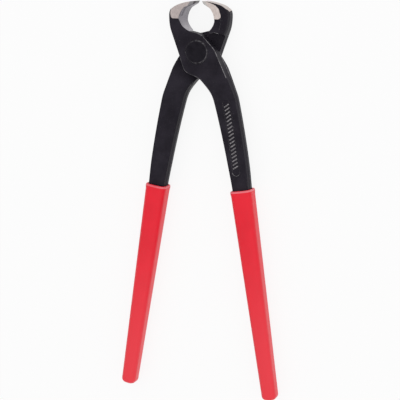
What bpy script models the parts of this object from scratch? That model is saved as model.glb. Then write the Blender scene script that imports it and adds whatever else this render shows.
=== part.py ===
"""Rebar tying pliers, 280 mm: two crossed forged levers, a rivet and two sleeves.

The pliers lie flat. +Y runs from the handles to the jaws, +X to the right seen
from above, and the origin is the centre of the rivet's lower face. Both levers
are one forging: the lower one is the upper one turned half a turn about Y, so
everything is drawn once, for the upper lever, whose jaw is on the left and
whose handle is on the right, with z = 0 in the plane where the levers meet.
"""

import math

import bmesh
import bpy
from mathutils import Vector

MM = 0.001

# Overall sizes
LENGTH = 280 * MM
JOINT_THICKNESS = 16 * MM
SHANK_THICKNESS = 9.8 * MM
CLEARANCE = 0.3 * MM

# Jaws, at rest a little open
TIP_Y = 34.6 * MM
TIP_GAP = 6.2 * MM
EDGE_LAND = 0.3 * MM
MOUTH_RADIUS = 12.8 * MM
MOUTH_END = math.radians(187)
MOUTH_SLANT = math.radians(8)
UPPER_MOUTH_CORNER = (-9.8 * MM, 18.0 * MM)
LOWER_MOUTH_CORNER = (-11.1 * MM, 17.3 * MM)
LOWER_MOUTH_FOOT = (-8.7 * MM, 14.0 * MM)
HEAD_HALF_WIDTH = 21.2 * MM
SHOULDER_Y = 24.8 * MM
BACK_CORNER = (-16.9 * MM, 31.8 * MM)
FLANK_GRIND_START = 22.6 * MM
FLANK_GRIND_DEPTH = 1.4 * MM

# Lap joint, as seen from above on the upper lever
JAW_ROOT = (-19.2 * MM, 15.0 * MM)
WAIST = (-13.1 * MM, -1.5 * MM)
HEEL = (-9.2 * MM, -11.3 * MM)
CROTCH = (2.3 * MM, -17.9 * MM)
CROTCH_BEND = (9.2 * MM, -27.2 * MM)
PALATE = (-5.9 * MM, 13.9 * MM)
NOTCH = (3.6 * MM, 11.9 * MM)
SIDE_CORNER = (12.9 * MM, 2.4 * MM)
SIDE_BEND = (15.6 * MM, -5.8 * MM)
SIDE_SWELL = (21.2 * MM, -17.2 * MM)
LEDGE_DISTANCE = 15.9 * MM
LEDGE_TILT = math.radians(13)
LEDGE_SPAN = math.radians(78)
LAP_CLEARANCE = 0.45 * MM
OPENS_BY = math.radians(20)
CLOSES_BY = math.radians(9.8)

# Rivet
RIVET_RADIUS = 5.0 * MM
RIVET_HEAD_RADIUS = 8.2 * MM
RIVET_HEAD_HEIGHT = 2.6 * MM
RIVET_PROUD = 0.6 * MM
RIVET_CHAMFER = 0.7 * MM
RIVET_SIDES = 48

# Handle: its middle line is straight under the sleeve and bends in towards the joint
SLEEVE_TOP = 96.5 * MM
SLEEVE_TOP_X = 31.95 * MM
HANDLE_SLOPE = 0.153
HANDLE_BEND = 0.72 / (1000 * MM)
ROOT_Y = 33 * MM
ROOT_WIDTH = 14.5 * MM
SHANK_WIDTH = 11.2 * MM
TANG_END_WIDTH = 6.5 * MM
TANG_END_THICKNESS = 6.2 * MM
TANG_SHORT_OF_END = 5 * MM

# Recessed panel on the shank's upper face
PANEL_TOP = 29 * MM
PANEL_BOTTOM = 87 * MM
PANEL_WIDTH = 5.6 * MM
PANEL_DEPTH = 0.4 * MM

# Edge roundings, which shrink to these shares of the width where the jaw is narrow
FORGED_ROUND = 1.3 * MM
BACK_ROUND_UPPER = 1.2 * MM
BACK_ROUND_LOWER = 3.6 * MM
MOUTH_ROUND = 0.5 * MM
NARROW_REACH = 0.42
NARROW_RISE = 0.6

# Where the faces fall from the joint's thickness to the shank's, measured down from the pivot
UPPER_FALL = (11 * MM, ROOT_Y)
LOWER_FALL = (-8 * MM, 4 * MM)

# Sleeves
SLEEVE_WALL = 1.8 * MM
LIP_HEIGHT = 4.5 * MM
LIP_BULGE = 0.2 * MM
LIP_RISE = 0.9 * MM
SLEEVE_END_ROUND = 3.5 * MM
SLEEVE_CORNER = 0.34

# Fineness of the meshes
CORNER_STEPS = 3
BEND_STATIONS = 9
SIDE_STATIONS = 5
CORNER_STATIONS = 3
SHANK_STATIONS = 9
TANG_STATIONS = 6
SLEEVE_STATIONS = 9
SLEEVE_CORNER_STEPS = 4
LIP_STEPS = 5
END_STEPS = 4
LAP_STEP_DEGREES = 4
LAP_TURNS = 12
PANEL_RUNS = 8
PANEL_ARC_STEPS = 8
SHARP_ANGLE = math.radians(34)

COLOURS = {
    "lever": (0.018, 0.016, 0.021, 1),
    "rivet": (0.015, 0.014, 0.018, 1),
    "sleeve": (0.78, 0.022, 0.034, 1),
}

HALF_JOINT = JOINT_THICKNESS / 2
HALF_SHANK = SHANK_THICKNESS / 2
PIVOT_HEIGHT = HALF_JOINT + RIVET_PROUD
JAW_STATIONS = BEND_STATIONS + SIDE_STATIONS
HANDLE_END = LENGTH - TIP_Y
TANG_END = HANDLE_END - TANG_SHORT_OF_END


def clear_scene():
    for old in list(bpy.data.objects):
        bpy.data.objects.remove(old, do_unlink=True)


def material(name, roughness, metallic):
    made = bpy.data.materials.new(name)
    made.use_nodes = True
    shader = made.node_tree.nodes["Principled BSDF"]
    shader.inputs["Base Color"].default_value = COLOURS[name]
    shader.inputs["Roughness"].default_value = roughness
    shader.inputs["Metallic"].default_value = metallic
    return made


def mix(start, end, share):
    return start + (end - start) * share


def ease(value, start, end):
    """0 before start, 1 after end, with a smooth slope between them."""
    share = min(max((value - start) / (end - start), 0), 1)
    return share * share * (3 - 2 * share)


def between(start, end, count):
    """Points from start to end, without the end itself."""
    a, b = Vector(start), Vector(end)
    return [a.lerp(b, step / count) for step in range(count)]


def curve_through(points, count):
    """Smooth curve through the points, count steps to each stretch, without its end."""
    knots = [Vector(point) for point in points]
    knots = [2 * knots[0] - knots[1], *knots, 2 * knots[-1] - knots[-2]]
    curve = []
    for before, start, end, after in zip(knots, knots[1:], knots[2:], knots[3:]):
        for step in range(count):
            share = step / count
            curve.append(hermite(start, end, (end - before) / 2, (after - start) / 2, share))
    return curve


def hermite(start, end, leave, arrive, share):
    """Point of the cubic from start to end with these slopes at its ends."""
    square, cube = share**2, share**3
    point = start * (2 * cube - 3 * square + 1) + end * (3 * square - 2 * cube)
    return point + leave * (cube - 2 * square + share) + arrive * (cube - square)


def handle_middle(down):
    """Point of the handle's middle line, at this distance below the pivot."""
    above = max(SLEEVE_TOP - down, 0)
    x = SLEEVE_TOP_X - HANDLE_SLOPE * (SLEEVE_TOP - down) - HANDLE_BEND * above**2
    return Vector((x, -down))


def handle_across(down):
    """Unit vector across the handle, from its inner to its outer side."""
    above = max(SLEEVE_TOP - down, 0)
    slope = HANDLE_SLOPE + 2 * HANDLE_BEND * above
    return Vector((1, slope)).normalized()


def handle_width(down):
    if down < SLEEVE_TOP:
        return mix(ROOT_WIDTH, SHANK_WIDTH, (down - ROOT_Y) / (SLEEVE_TOP - ROOT_Y))
    share = (down - SLEEVE_TOP) / (TANG_END - SLEEVE_TOP)
    return mix(SHANK_WIDTH, TANG_END_WIDTH, share)


def handle_thickness(down):
    share = max(down - SLEEVE_TOP, 0) / (TANG_END - SLEEVE_TOP)
    return mix(SHANK_THICKNESS, TANG_END_THICKNESS, share)


def mouth_centre():
    """The mouth is a circle about a point on the middle line that passes through both tips."""
    return Vector((0, TIP_Y - math.sqrt(MOUTH_RADIUS**2 - (TIP_GAP / 2) ** 2)))


def jaw_inside(side):
    """The mouth's edge at the upper face (side 1) or the lower face (side -1), down to its foot.

    The mouth is ground at a slant, so its circle lies higher at the upper face,
    but both edges start at the tip, which keeps the cutting edge level.
    """
    centre = mouth_centre()
    slant = Vector((0, side * HALF_JOINT * math.tan(MOUTH_SLANT)))
    start = math.acos(-TIP_GAP / 2 / MOUTH_RADIUS)
    points = []
    for step in range(JAW_STATIONS + 1):
        angle = mix(start, MOUTH_END, step / JAW_STATIONS)
        point = centre + MOUTH_RADIUS * Vector((math.cos(angle), math.sin(angle)))
        points.append(point + slant * ease(TIP_Y - point.y, 0, MOUTH_RADIUS / 2))
    corner = UPPER_MOUTH_CORNER if side > 0 else LOWER_MOUTH_CORNER
    foot = PALATE if side > 0 else LOWER_MOUTH_FOOT
    return points[:-1] + curve_through((points[-1], corner, foot), CORNER_STATIONS) + [Vector(foot)]


def arch(start, over, end, count):
    """Curve from start to end that leaves and arrives in line with the point over."""
    points = []
    for step in range(count):
        share = step / count
        points.append(start.lerp(over, share).lerp(over.lerp(end, share), share))
    return points


def jaw_outside():
    """The jaw's back: one curve from the tip over the shoulder, and one down to its root."""
    tip = Vector((-TIP_GAP / 2 - EDGE_LAND, TIP_Y))
    shoulder = Vector((-HEAD_HALF_WIDTH, SHOULDER_Y))
    root = Vector(JAW_ROOT)
    over = 2 * Vector(BACK_CORNER) - (tip + shoulder) / 2
    side = Vector((shoulder.x, (shoulder.y + root.y) / 2))
    points = arch(tip, over, shoulder, BEND_STATIONS)
    return points + arch(shoulder, side, root, SIDE_STATIONS)


def lever_stations():
    """Plan points across the lever, from the jaw's tip to the tang's end.

    Each is one point of the back's edge and the two of the mouth's side that
    face it, at the upper and at the lower face.
    """
    root_middle, root_across = handle_middle(ROOT_Y), handle_across(ROOT_Y)
    root_inner = root_middle - root_across * ROOT_WIDTH / 2
    root_outer = root_middle + root_across * ROOT_WIDTH / 2
    back = jaw_outside() + between(JAW_ROOT, WAIST, 2 * CORNER_STATIONS)
    back += between(WAIST, HEEL, 3) + between(HEEL, CROTCH, 3)
    back += curve_through((CROTCH, CROTCH_BEND, root_inner), 3)
    side = between(NOTCH, SIDE_CORNER, 2)
    side += curve_through((SIDE_CORNER, SIDE_BEND, SIDE_SWELL, root_outer), 3)
    stations = list(zip(back, jaw_inside(1) + side, jaw_inside(-1) + side))
    downs = [mix(ROOT_Y, SLEEVE_TOP, i / SHANK_STATIONS) for i in range(SHANK_STATIONS)]
    downs += [mix(SLEEVE_TOP, TANG_END, i / TANG_STATIONS) for i in range(TANG_STATIONS + 1)]
    for down in downs:
        middle = handle_middle(down)
        half = handle_across(down) * handle_width(down) / 2
        stations.append((middle - half, middle + half, middle + half))
    return stations


def lever_heights(back, front):
    """Heights of the upper and the lower face over one pair of points."""
    down = -(back.y + front.y) / 2
    if down > ROOT_Y:
        half = handle_thickness(down) / 2
        return half, half
    upper = mix(HALF_JOINT, HALF_SHANK, ease(down, *UPPER_FALL))
    lower = mix(HALF_JOINT, HALF_SHANK, ease(down, *LOWER_FALL))
    return upper, lower


def lever_rounds(back, front):
    """Edge roundings of the back, under and over, and of the mouth."""
    jaw = ease((back.y + front.y) / 2, 0, JAW_ROOT[1])
    sizes = BACK_ROUND_LOWER, BACK_ROUND_UPPER, MOUTH_ROUND
    return [mix(FORGED_ROUND, size, jaw) for size in sizes]


def lever_ring(back, upper_front, lower_front):
    """One rounded section of the lever, upright over the line from its back to its front."""
    front = (upper_front + lower_front) / 2
    upper, lower = lever_heights(back, front)
    back_lower, back_upper, mouth = lever_rounds(back, front)
    along = front - back
    width = along.length
    along.normalize()
    corners = (
        (back, along, -lower, 1, back_lower, True),
        (back, along, upper, -1, back_upper, False),
        (upper_front, -along, upper, -1, mouth, True),
        (lower_front, -along, -lower, 1, mouth, False),
    )
    ring = []
    for base, inward, level, sign, size, from_face in corners:
        reach = min(size, NARROW_REACH * width)
        size = min(size, NARROW_RISE * width)
        for step in range(CORNER_STEPS + 1):
            turn = math.pi / 2 * step / CORNER_STEPS
            turn = turn if from_face else math.pi / 2 - turn
            plan = base + inward * reach * (1 - math.sin(turn))
            ring.append((plan.x, plan.y, level + sign * size * (1 - math.cos(turn))))
    return ring


def loft(rings, bm):
    """Skin closed rings one after another, and cap the first and the last."""
    rows = [[bm.verts.new(point) for point in ring] for ring in rings]
    for one, two in zip(rows, rows[1:]):
        for i in range(len(one)):
            j = (i + 1) % len(one)
            bm.faces.new((one[i], one[j], two[j], two[i]))
    bm.faces.new(rows[0])
    bm.faces.new(rows[-1])


def finish_mesh(bm, name):
    bmesh.ops.recalc_face_normals(bm, faces=bm.faces)
    bmesh.ops.triangulate(bm, faces=[face for face in bm.faces if len(face.verts) == 4])
    mesh = bpy.data.meshes.new(name)
    bm.to_mesh(mesh)
    bm.free()
    mesh.shade_smooth()
    mesh.set_sharp_from_angle(angle=SHARP_ANGLE)
    return mesh


def lever_mesh():
    bm = bmesh.new()
    loft([lever_ring(*station) for station in lever_stations()], bm)
    return finish_mesh(bm, "lever")


def prism(outline, bottom, top):
    """Closed upright solid over a plan outline."""
    bm = bmesh.new()
    lower = [bm.verts.new((x, y, bottom)) for x, y in outline]
    upper = [bm.verts.new((x, y, top)) for x, y in outline]
    bm.faces.new(lower)
    bm.faces.new(upper)
    for i in range(len(lower)):
        j = (i + 1) % len(lower)
        bm.faces.new((lower[i], lower[j], upper[j], upper[i]))
    return bm


def crossing_radius(edges, angle):
    """How far a ray from the pivot runs inside the outline made of these edges."""
    ray = Vector((math.cos(angle), math.sin(angle)))
    for start, end in edges:
        side = end - start
        cross = ray.x * side.y - ray.y * side.x
        if abs(cross) < 1e-12:
            continue
        reach = (start.x * side.y - start.y * side.x) / cross
        share = (start.x * ray.y - start.y * ray.x) / cross
        if 0 <= share <= 1 and 0 < reach < ROOT_Y:
            return reach
    return ROOT_Y


def lap_outline():
    """Recess that lets the other lever turn through its whole range under this one.

    Its edge in each direction is the farthest that the other lever reaches there,
    and it runs out to the straight ledge that ends the full-depth jaw. It stays
    above the handle's root.
    """
    stations = lever_stations()
    around = [back for back, _, _ in stations] + [front for _, front, _ in reversed(stations)]
    mate = [Vector((-point.x, point.y)) for point in around]
    edges = list(zip(mate, mate[1:] + mate[:1]))
    sweep = [mix(-OPENS_BY, CLOSES_BY, i / LAP_TURNS) for i in range(LAP_TURNS + 1)]
    outline = []
    for degrees in range(0, 360, LAP_STEP_DEGREES):
        angle = math.radians(degrees)
        reach = max(crossing_radius(edges, angle - turn) for turn in sweep) + LAP_CLEARANCE
        from_ledge = math.cos(angle - math.pi / 2 - LEDGE_TILT)
        if from_ledge > math.cos(LEDGE_SPAN):
            reach = max(reach, LEDGE_DISTANCE / from_ledge)
        reach = min(reach, ROOT_Y)
        outline.append((reach * math.cos(angle), reach * math.sin(angle)))
    return outline


def lap_mesh():
    bm = prism(lap_outline(), -2 * HALF_JOINT, CLEARANCE / 2)
    return finish_mesh(bm, "lap_recess")


def bore_mesh():
    """Rivet hole with the recess for its head, turned about the axis."""
    floor = HALF_JOINT - RIVET_HEAD_HEIGHT + RIVET_PROUD - CLEARANCE
    hole, recess = RIVET_RADIUS + CLEARANCE, RIVET_HEAD_RADIUS + CLEARANCE
    profile = (
        (hole, -2 * HALF_JOINT),
        (hole, floor),
        (recess, floor),
        (recess, 2 * HALF_JOINT),
    )
    return turned_mesh(profile, "rivet_bore")


def turned_mesh(profile, name):
    """Solid of revolution about Z through (radius, height) points, capped at both ends."""
    rings = []
    for radius, height in profile:
        ring = []
        for side in range(RIVET_SIDES):
            angle = 2 * math.pi * side / RIVET_SIDES
            ring.append((radius * math.cos(angle), radius * math.sin(angle), height))
        rings.append(ring)
    bm = bmesh.new()
    loft(rings, bm)
    return finish_mesh(bm, name)


def rivet_mesh():
    half = HALF_JOINT + RIVET_PROUD
    under = half - RIVET_HEAD_HEIGHT
    flat = RIVET_HEAD_RADIUS - RIVET_CHAMFER
    edge = half - RIVET_CHAMFER
    profile = (
        (flat, -half),
        (RIVET_HEAD_RADIUS, -edge),
        (RIVET_HEAD_RADIUS, -under),
        (RIVET_RADIUS, -under),
        (RIVET_RADIUS, under),
        (RIVET_HEAD_RADIUS, under),
        (RIVET_HEAD_RADIUS, edge),
        (flat, half),
    )
    return turned_mesh(profile, "rivet")


def flank_mesh(side):
    """Wedge that grinds one flank of the jaw down towards the tip."""
    far = TIP_Y + 5 * MM
    run = TIP_Y - FLANK_GRIND_START
    drop = FLANK_GRIND_DEPTH * (far - FLANK_GRIND_START) / run
    reach = 2 * HEAD_HALF_WIDTH
    profile = (
        (FLANK_GRIND_START, HALF_JOINT),
        (far, HALF_JOINT - drop),
        (far, 2 * HALF_JOINT),
        (FLANK_GRIND_START, 2 * HALF_JOINT),
    )
    bm = bmesh.new()
    rings = [[(x, y, side * z) for y, z in profile] for x in (-reach, reach)]
    loft(rings, bm)
    return finish_mesh(bm, "flank_grind")


def panel_mesh():
    """Long recess with round ends that follows the shank's middle line."""
    radius = PANEL_WIDTH / 2
    ends = PANEL_TOP + radius, PANEL_BOTTOM - radius
    downs = [mix(*ends, i / PANEL_RUNS) for i in range(PANEL_RUNS + 1)]
    inner = [handle_middle(down) - handle_across(down) * radius for down in downs]
    outer = [handle_middle(down) + handle_across(down) * radius for down in downs]
    outline = inner + panel_end(ends[1], -1) + outer[::-1] + panel_end(ends[0], 1)
    bm = prism(outline, HALF_SHANK - PANEL_DEPTH, HALF_JOINT)
    return finish_mesh(bm, "panel_recess")


def panel_end(down, way):
    """Half circle that closes the panel: way -1 at its bottom, 1 at its top."""
    middle, across = handle_middle(down), handle_across(down)
    along = Vector((-across.y, across.x)) * way
    start = across * way
    points = []
    for step in range(1, PANEL_ARC_STEPS):
        turn = math.pi * step / PANEL_ARC_STEPS
        offset = start * math.cos(turn) + along * math.sin(turn)
        points.append(middle + offset * PANEL_WIDTH / 2)
    return points


def sleeve_ring(down, out, outside=1, reach=0):
    """Rounded section around the handle, larger than it by out all round.

    Its corners run from the tang's own (outside 0) to the sleeve's (outside 1),
    and reach moves it along the handle towards the end.
    """
    own = min(down, TANG_END)
    half_width = handle_width(own) / 2 + out
    half_thickness = handle_thickness(own) / 2 + out
    size = mix(FORGED_ROUND + out, SLEEVE_CORNER * 2 * half_thickness, outside)
    middle, across = handle_middle(down), handle_across(down)
    middle = middle + Vector((across.y, -across.x)) * reach
    ring = []
    for quarter in range(4):
        for step in range(SLEEVE_CORNER_STEPS + 1):
            turn = math.pi / 2 * (quarter + step / SLEEVE_CORNER_STEPS)
            corner = math.pi / 2 * quarter + math.pi / 4
            side = math.copysign(half_width - size, math.cos(corner)) + size * math.cos(turn)
            rise = math.copysign(half_thickness - size, math.sin(corner)) + size * math.sin(turn)
            plan = middle + across * side
            ring.append((plan.x, plan.y, rise))
    return ring


def sleeve_mesh():
    """Sleeve with a thick rounded lip, a closed rounded end and the tang's pocket in it."""
    wall = CLEARANCE + SLEEVE_WALL
    pocket_end = TANG_END + CLEARANCE
    lip_end = SLEEVE_TOP + LIP_HEIGHT
    body_end = HANDLE_END - SLEEVE_END_ROUND
    shares = [step / SLEEVE_STATIONS for step in range(SLEEVE_STATIONS + 1)]
    rings = [sleeve_ring(mix(pocket_end, SLEEVE_TOP, share), CLEARANCE, 0) for share in shares]
    for step in range(1, LIP_STEPS + 1):
        turn = math.pi * step / LIP_STEPS
        share = (1 - math.cos(turn)) / 2
        out = mix(CLEARANCE, wall + LIP_BULGE, share)
        rings.append(sleeve_ring(SLEEVE_TOP, out, share, -LIP_RISE * math.sin(turn)))
    for step in range(1, LIP_STEPS + 1):
        share = step / LIP_STEPS
        out = wall + LIP_BULGE * (1 - ease(share, 0, 1))
        rings.append(sleeve_ring(mix(SLEEVE_TOP, lip_end, share), out))
    rings += [sleeve_ring(mix(lip_end, body_end, share), wall) for share in shares[1:]]
    for step in range(1, END_STEPS + 1):
        turn = math.pi / 2 * step / END_STEPS
        out = wall - SLEEVE_END_ROUND * (1 - math.cos(turn))
        rings.append(sleeve_ring(body_end, out, 1, SLEEVE_END_ROUND * math.sin(turn)))
    bm = bmesh.new()
    loft(rings, bm)
    return finish_mesh(bm, "sleeve")


def add_object(name, mesh, parent=None, surface=None):
    made = bpy.data.objects.new(name, mesh)
    bpy.context.scene.collection.objects.link(made)
    made.parent = parent
    if surface:
        made.data.materials.clear()
        made.data.materials.append(surface)
    return made


def add_body(name, turn):
    """Empty on the hinge axis, at the plane where the levers meet, that carries one lever."""
    body = add_object(name, None)
    body.location = (0, 0, PIVOT_HEIGHT)
    body.rotation_euler = (0, turn, 0)
    return body


def add_lever(name, body, mesh, cutters, surface):
    lever = add_object(name, mesh, body, surface)
    for cutter_mesh in cutters:
        cutter = add_object(f"{name}_{cutter_mesh.name}", cutter_mesh, body)
        cutter.hide_render = True
        cutter.display_type = "WIRE"
        cut = lever.modifiers.new(cutter_mesh.name, "BOOLEAN")
        cut.operation = "DIFFERENCE"
        cut.solver = "EXACT"
        cut.object = cutter
    shading = lever.modifiers.new("even_shading", "WEIGHTED_NORMAL")
    shading.keep_sharp = True
    shading.weight = 100


def build():
    clear_scene()
    steel = material("lever", 0.42, 0.3)
    rivet_steel = material("rivet", 0.38, 0.4)
    vinyl = material("sleeve", 0.3, 0)
    lever = lever_mesh()
    cutters = [lap_mesh(), bore_mesh(), flank_mesh(1), flank_mesh(-1), panel_mesh()]
    sleeve = sleeve_mesh()
    upper = add_body("upper_body", 0)
    lower = add_body("lower_body", math.pi)
    add_lever("front_lever", upper, lever, cutters, steel)
    add_lever("rear_lever", lower, lever, cutters, steel)
    add_object("right_grip", sleeve, upper, vinyl)
    add_object("left_grip", sleeve, lower, vinyl)
    add_object("pivot_rivet", rivet_mesh(), lower, rivet_steel)


build()
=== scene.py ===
"""Looks of the rebar tying pliers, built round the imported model.

The pliers lie flat on the floor. +Y runs from the handles to the jaws, +X to the
right seen from above. Both levers are one forging: the rear one is the front one
turned half a turn about Y. So everything is drawn once, for the front lever, with
its jaw on the left, its handle on the right and z = 0 where the levers meet.
"""

import math

import bmesh
import bpy
from mathutils import Matrix, Vector


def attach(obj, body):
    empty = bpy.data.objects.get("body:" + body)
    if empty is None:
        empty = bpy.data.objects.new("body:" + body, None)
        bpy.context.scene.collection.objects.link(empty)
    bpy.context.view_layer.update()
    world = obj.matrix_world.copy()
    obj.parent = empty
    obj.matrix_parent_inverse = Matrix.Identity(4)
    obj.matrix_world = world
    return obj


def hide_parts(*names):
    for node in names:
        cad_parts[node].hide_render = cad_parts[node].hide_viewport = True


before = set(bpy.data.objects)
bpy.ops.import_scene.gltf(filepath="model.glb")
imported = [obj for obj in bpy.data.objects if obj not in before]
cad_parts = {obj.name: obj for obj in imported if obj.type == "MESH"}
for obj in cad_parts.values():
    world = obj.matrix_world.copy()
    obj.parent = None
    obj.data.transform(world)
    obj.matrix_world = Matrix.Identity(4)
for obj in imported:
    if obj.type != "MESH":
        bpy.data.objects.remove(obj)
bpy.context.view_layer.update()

MM = 0.001


def mm(*sizes):
    """A point, or a set of sizes, given in millimetres."""
    return tuple(size * MM for size in sizes)


# Overall sizes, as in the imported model
LENGTH = 280 * MM
JOINT_THICKNESS = 16 * MM
SHANK_THICKNESS = 9.8 * MM
CLEARANCE = 0.3 * MM

# Jaws
TIP_Y = 34.6 * MM
TIP_GAP = 6.2 * MM
EDGE_LAND = 0.3 * MM
UPPER_MOUTH_CORNERS = (mm(-12.4, 20.8), mm(-10.0, 17.2))
LOWER_MOUTH_CORNERS = (mm(-11.6, 17.85), mm(-9.1, 14.6))
LOWER_MOUTH_FOOT = mm(-6.9, 13.75)

# Mouth's circle at the two faces: radius, height of its centre, angles at its ends
UPPER_CIRCLE = (13.9 * MM, 20.5 * MM, math.radians(133.4), math.radians(168.4))
LOWER_CIRCLE = (12.75 * MM, 21.0 * MM, math.radians(136.4), math.radians(181))

# Between the cutting edge and the circle: the blunt land's foot and the bevel's middle
UPPER_TIP = (mm(-3.5, 32.6), mm(-6.8, 31.5))
LOWER_TIP = (mm(-4.2, 32.7), mm(-7.4, 30.95))
HEAD_HALF_WIDTH = 21.2 * MM
SHOULDER_Y = 24.8 * MM
BACK_CORNER = mm(-16.9, 31.8)
FLANK_GRIND_START = 22.6 * MM
FLANK_GRIND_DEPTH = 1.4 * MM

# Foot of a flank's grind, which curves up at the jaw's back: start, reach and rise
UPPER_FLANK_CURVE = mm(17.4, 2.6, 1.3)
LOWER_FLANK_CURVE = mm(15.3, 2.6, 2.3)
FLANK_CURVE_END = 1.4
FLANK_PAST_JAW = 2 * MM
FLANK_PAST_TIP = 5 * MM
FLANK_CURVE_STEPS = 16

# Band ground along the jaw's outer wall, from the tip to just above the shoulder.
# Its heights are parts of the joint's half thickness, its fades parts of its length.
BAND_STATIONS_SHARE = 0.86
BAND_OVERRUN = 4
BAND_HEIGHTS = (-1.1, 1.1)
BAND_SLANT = 0.03
BAND_ZEROS = (-1.1, 0.9)
BAND_FADES = (0.72, 1.05)
BAND_RUN_IN = 12
BAND_LEVELS = 8
BAND_CROWN = 0.4 * MM
BAND_REACH = 6 * MM

# Second facet of each flank, which falls towards the cutting edge
TIP_FACET_START = 7.5 * MM
TIP_FACET_SLOPE = 0.2
TIP_FACET_HEIGHT = 7.0 * MM

# Lap joint, as seen from above on the front lever
JAW_ROOT = mm(-19.6, 15.0)
WAIST = mm(-13.5, -1.5)
HEEL = mm(-9.35, -14.3)
CROTCH = mm(2.0, -18.3)
CROTCH_BEND = mm(9.0, -27.3)
PALATE = mm(-5.6, 14.3)
NOTCH = mm(3.6, 11.9)
SIDE_CORNER = mm(13.0, 2.0)
SIDE_BEND = mm(16.1, -4.6)
SIDE_SWELL = mm(21.4, -17.2)
LEDGE_DISTANCE = 15.9 * MM
LEDGE_TILT = math.radians(13)
LEDGE_SPAN = math.radians(78)
LEDGE_FOOT = (
    mm(5.9, 16.0), mm(-4.8, 14.8), mm(-6.3, 13.3), mm(-8.9, 12.7),
    mm(-11.9, 12.0), mm(-14.1, 11.2), mm(-19.5, 9.4),
)
LEDGE_BY_MOUTH = (
    mm(-8.8, 15.6), mm(-9.0, 13.1), mm(-9.9, 12.9), mm(-11.4, 13.2),
    mm(-13.4, 13.6),
)
LEDGE_LEVELS = 7
LAP_GAP = 0.06 * MM
LAP_CLEARANCE = 0.45 * MM
LAP_CHAMFER = 0.45 * MM
LAP_RAMP = 1.6
RAMP_MIDDLE = math.radians(-62)
RAMP_SPAN = (math.radians(40), math.radians(66))
OPENS_BY = math.radians(20)
CLOSES_BY = math.radians(9.8)

# Degrees round the pivot where the ledge's edge is rubbed and carries a painted highlight, and from
# where deeper down too
LEDGE_WEAR_AND_HIGHLIGHT = range(112, 160)
LEDGE_MARK_DEEPER_FROM = 132
LEDGE_MARK_DEEPER_ROWS = 2

# Rivet. Its dish is given by radii and depths.
RIVET_RADIUS = 5.0 * MM
RIVET_HEAD_RADIUS = 8.2 * MM
RIVET_HEAD_HEIGHT = 2.6 * MM
RIVET_PROUD = 0.6 * MM
RIVET_SIDES = 96
RIVET_HEAD_GAP = 0.06 * MM
RIM_ROUND = 0.9 * MM
RIM_STEPS = 8
RIVET_DISH = ((6.6 * MM, 0), mm(6.0, 0.12), mm(2, 0.2))
BORE_CHAMFER = 0.12 * MM

# Handle: its middle line is straight under the sleeve's top and bends in above it, by
# HANDLE_BEND times the square of the distance
SLEEVE_TOP = 96.5 * MM
SLEEVE_TOP_X = 31.95 * MM
HANDLE_SLOPE = 0.153
HANDLE_BEND = 0.72
ROOT_Y = 33 * MM
ROOT_WIDTH = 14.5 * MM
SHANK_WIDTH = 11.2 * MM
SHANK_SWELL = 0.5 * MM
SWELL_ENDS = mm(78, 100)
TANG_END_WIDTH = 6.5 * MM
TANG_END_THICKNESS = 6.2 * MM
TANG_SHORT_OF_END = 5 * MM

# Recessed panel on the shank's upper face, with plain slanted ribs in it
PANEL_TOP = 32.5 * MM
PANEL_BOTTOM = 85.1 * MM
PANEL_WIDTH = 5.3 * MM
PANEL_SHIFTS = mm(1.0, -1.2)
PANEL_DEPTH = 0.4 * MM
PANEL_FLARE = 0.7
RIB_PITCH = 2.5 * MM
RIB_MARGIN = 0.8 * PANEL_WIDTH
RIB_DROP = 0.05 * MM
RIB_LENGTH = 4.3 * MM
RIB_WIDTH = 1.0 * MM
RIB_TAPER = mm(0.14, 0.084)
RIB_SLANT = math.radians(24)

# Edge roundings: a pair is the reach across the face and the rise up the side, or the
# heights between which they change
FORGED_ROUND = 0.9 * MM
BACK_ROUND_UPPER = mm(3.6, 2.0)
BACK_ROUND_SPAN = mm(14, 24)
SIDE_SLOPE = mm(3.9, 4.8)
CROWN_SLOPE = mm(6.3, 4.4)
CROWN_SPAN = mm(23, 30.5)
SLOPE_FLATNESS = 0.6
BACK_SOFTENING = 10
SIDE_SOFTENING = 2
PLATE_ROUND = 0.5 * MM
MOUTH_ROUND = 0.25 * MM
PLATE_SIDE_ROUNDS = mm(-34, -8)
NARROW_REACH = 0.3
SLOPE_NARROW_REACH = 0.8
NARROW_RISE = 0.6

# Draft of the forged sides, which meet in the trimmed parting line at mid-thickness
DRAFT = math.tan(math.radians(5))
PARTING_RISE = 0.12 * MM
PARTING_HALF = 0.45 * MM
PARTING_FOOT = 0.7 * MM
PARTING_HEIGHTS = (-PARTING_FOOT, -PARTING_HALF, PARTING_HALF, PARTING_FOOT)
FULL_DRAFT_WIDTH = 8 * MM
DRAFT_STARTS = mm(17, 25)

# Where the faces fall from the joint's thickness to the shank's
UPPER_FALL = (11 * MM, ROOT_Y)
LOWER_FALL = mm(-8, 4)

# Sleeves
SLEEVE_WALL = 1.76 * MM
LIP_HEIGHT = 3.4 * MM
LIP_BULGE = 0.22 * MM
LIP_RISE = 1.1 * MM
SLEEVE_END_ROUND = 3.5 * MM
SLEEVE_CORNER = 0.27
SLEEVE_CROWN = 0.7 * MM
SLEEVE_SHORTER = 0.04 * MM

# Fineness of the meshes
FINE = 4
BEND_STATIONS = 9 * FINE
SIDE_STATIONS = 5 * FINE
CORNER_STATIONS = 3 * FINE
CORNER_STEPS = 6
LAND_STATIONS = 3
BEVEL_STATIONS = 5
SHANK_STATIONS = 30
TANG_STATIONS = 6
SLEEVE_STATIONS = 48
SLEEVE_CORNER_STEPS = 8
SLEEVE_FACE_STEPS = 6
POCKET_STRIDE = 4
LIP_STEPS = 10
END_STEPS = 8
PANEL_RUNS = 30
PANEL_ARC_STEPS = 16
SHARP_ANGLE = math.radians(28)
FLAT_FACE_WEIGHT = 100
PARALLEL = 1e-12

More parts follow.
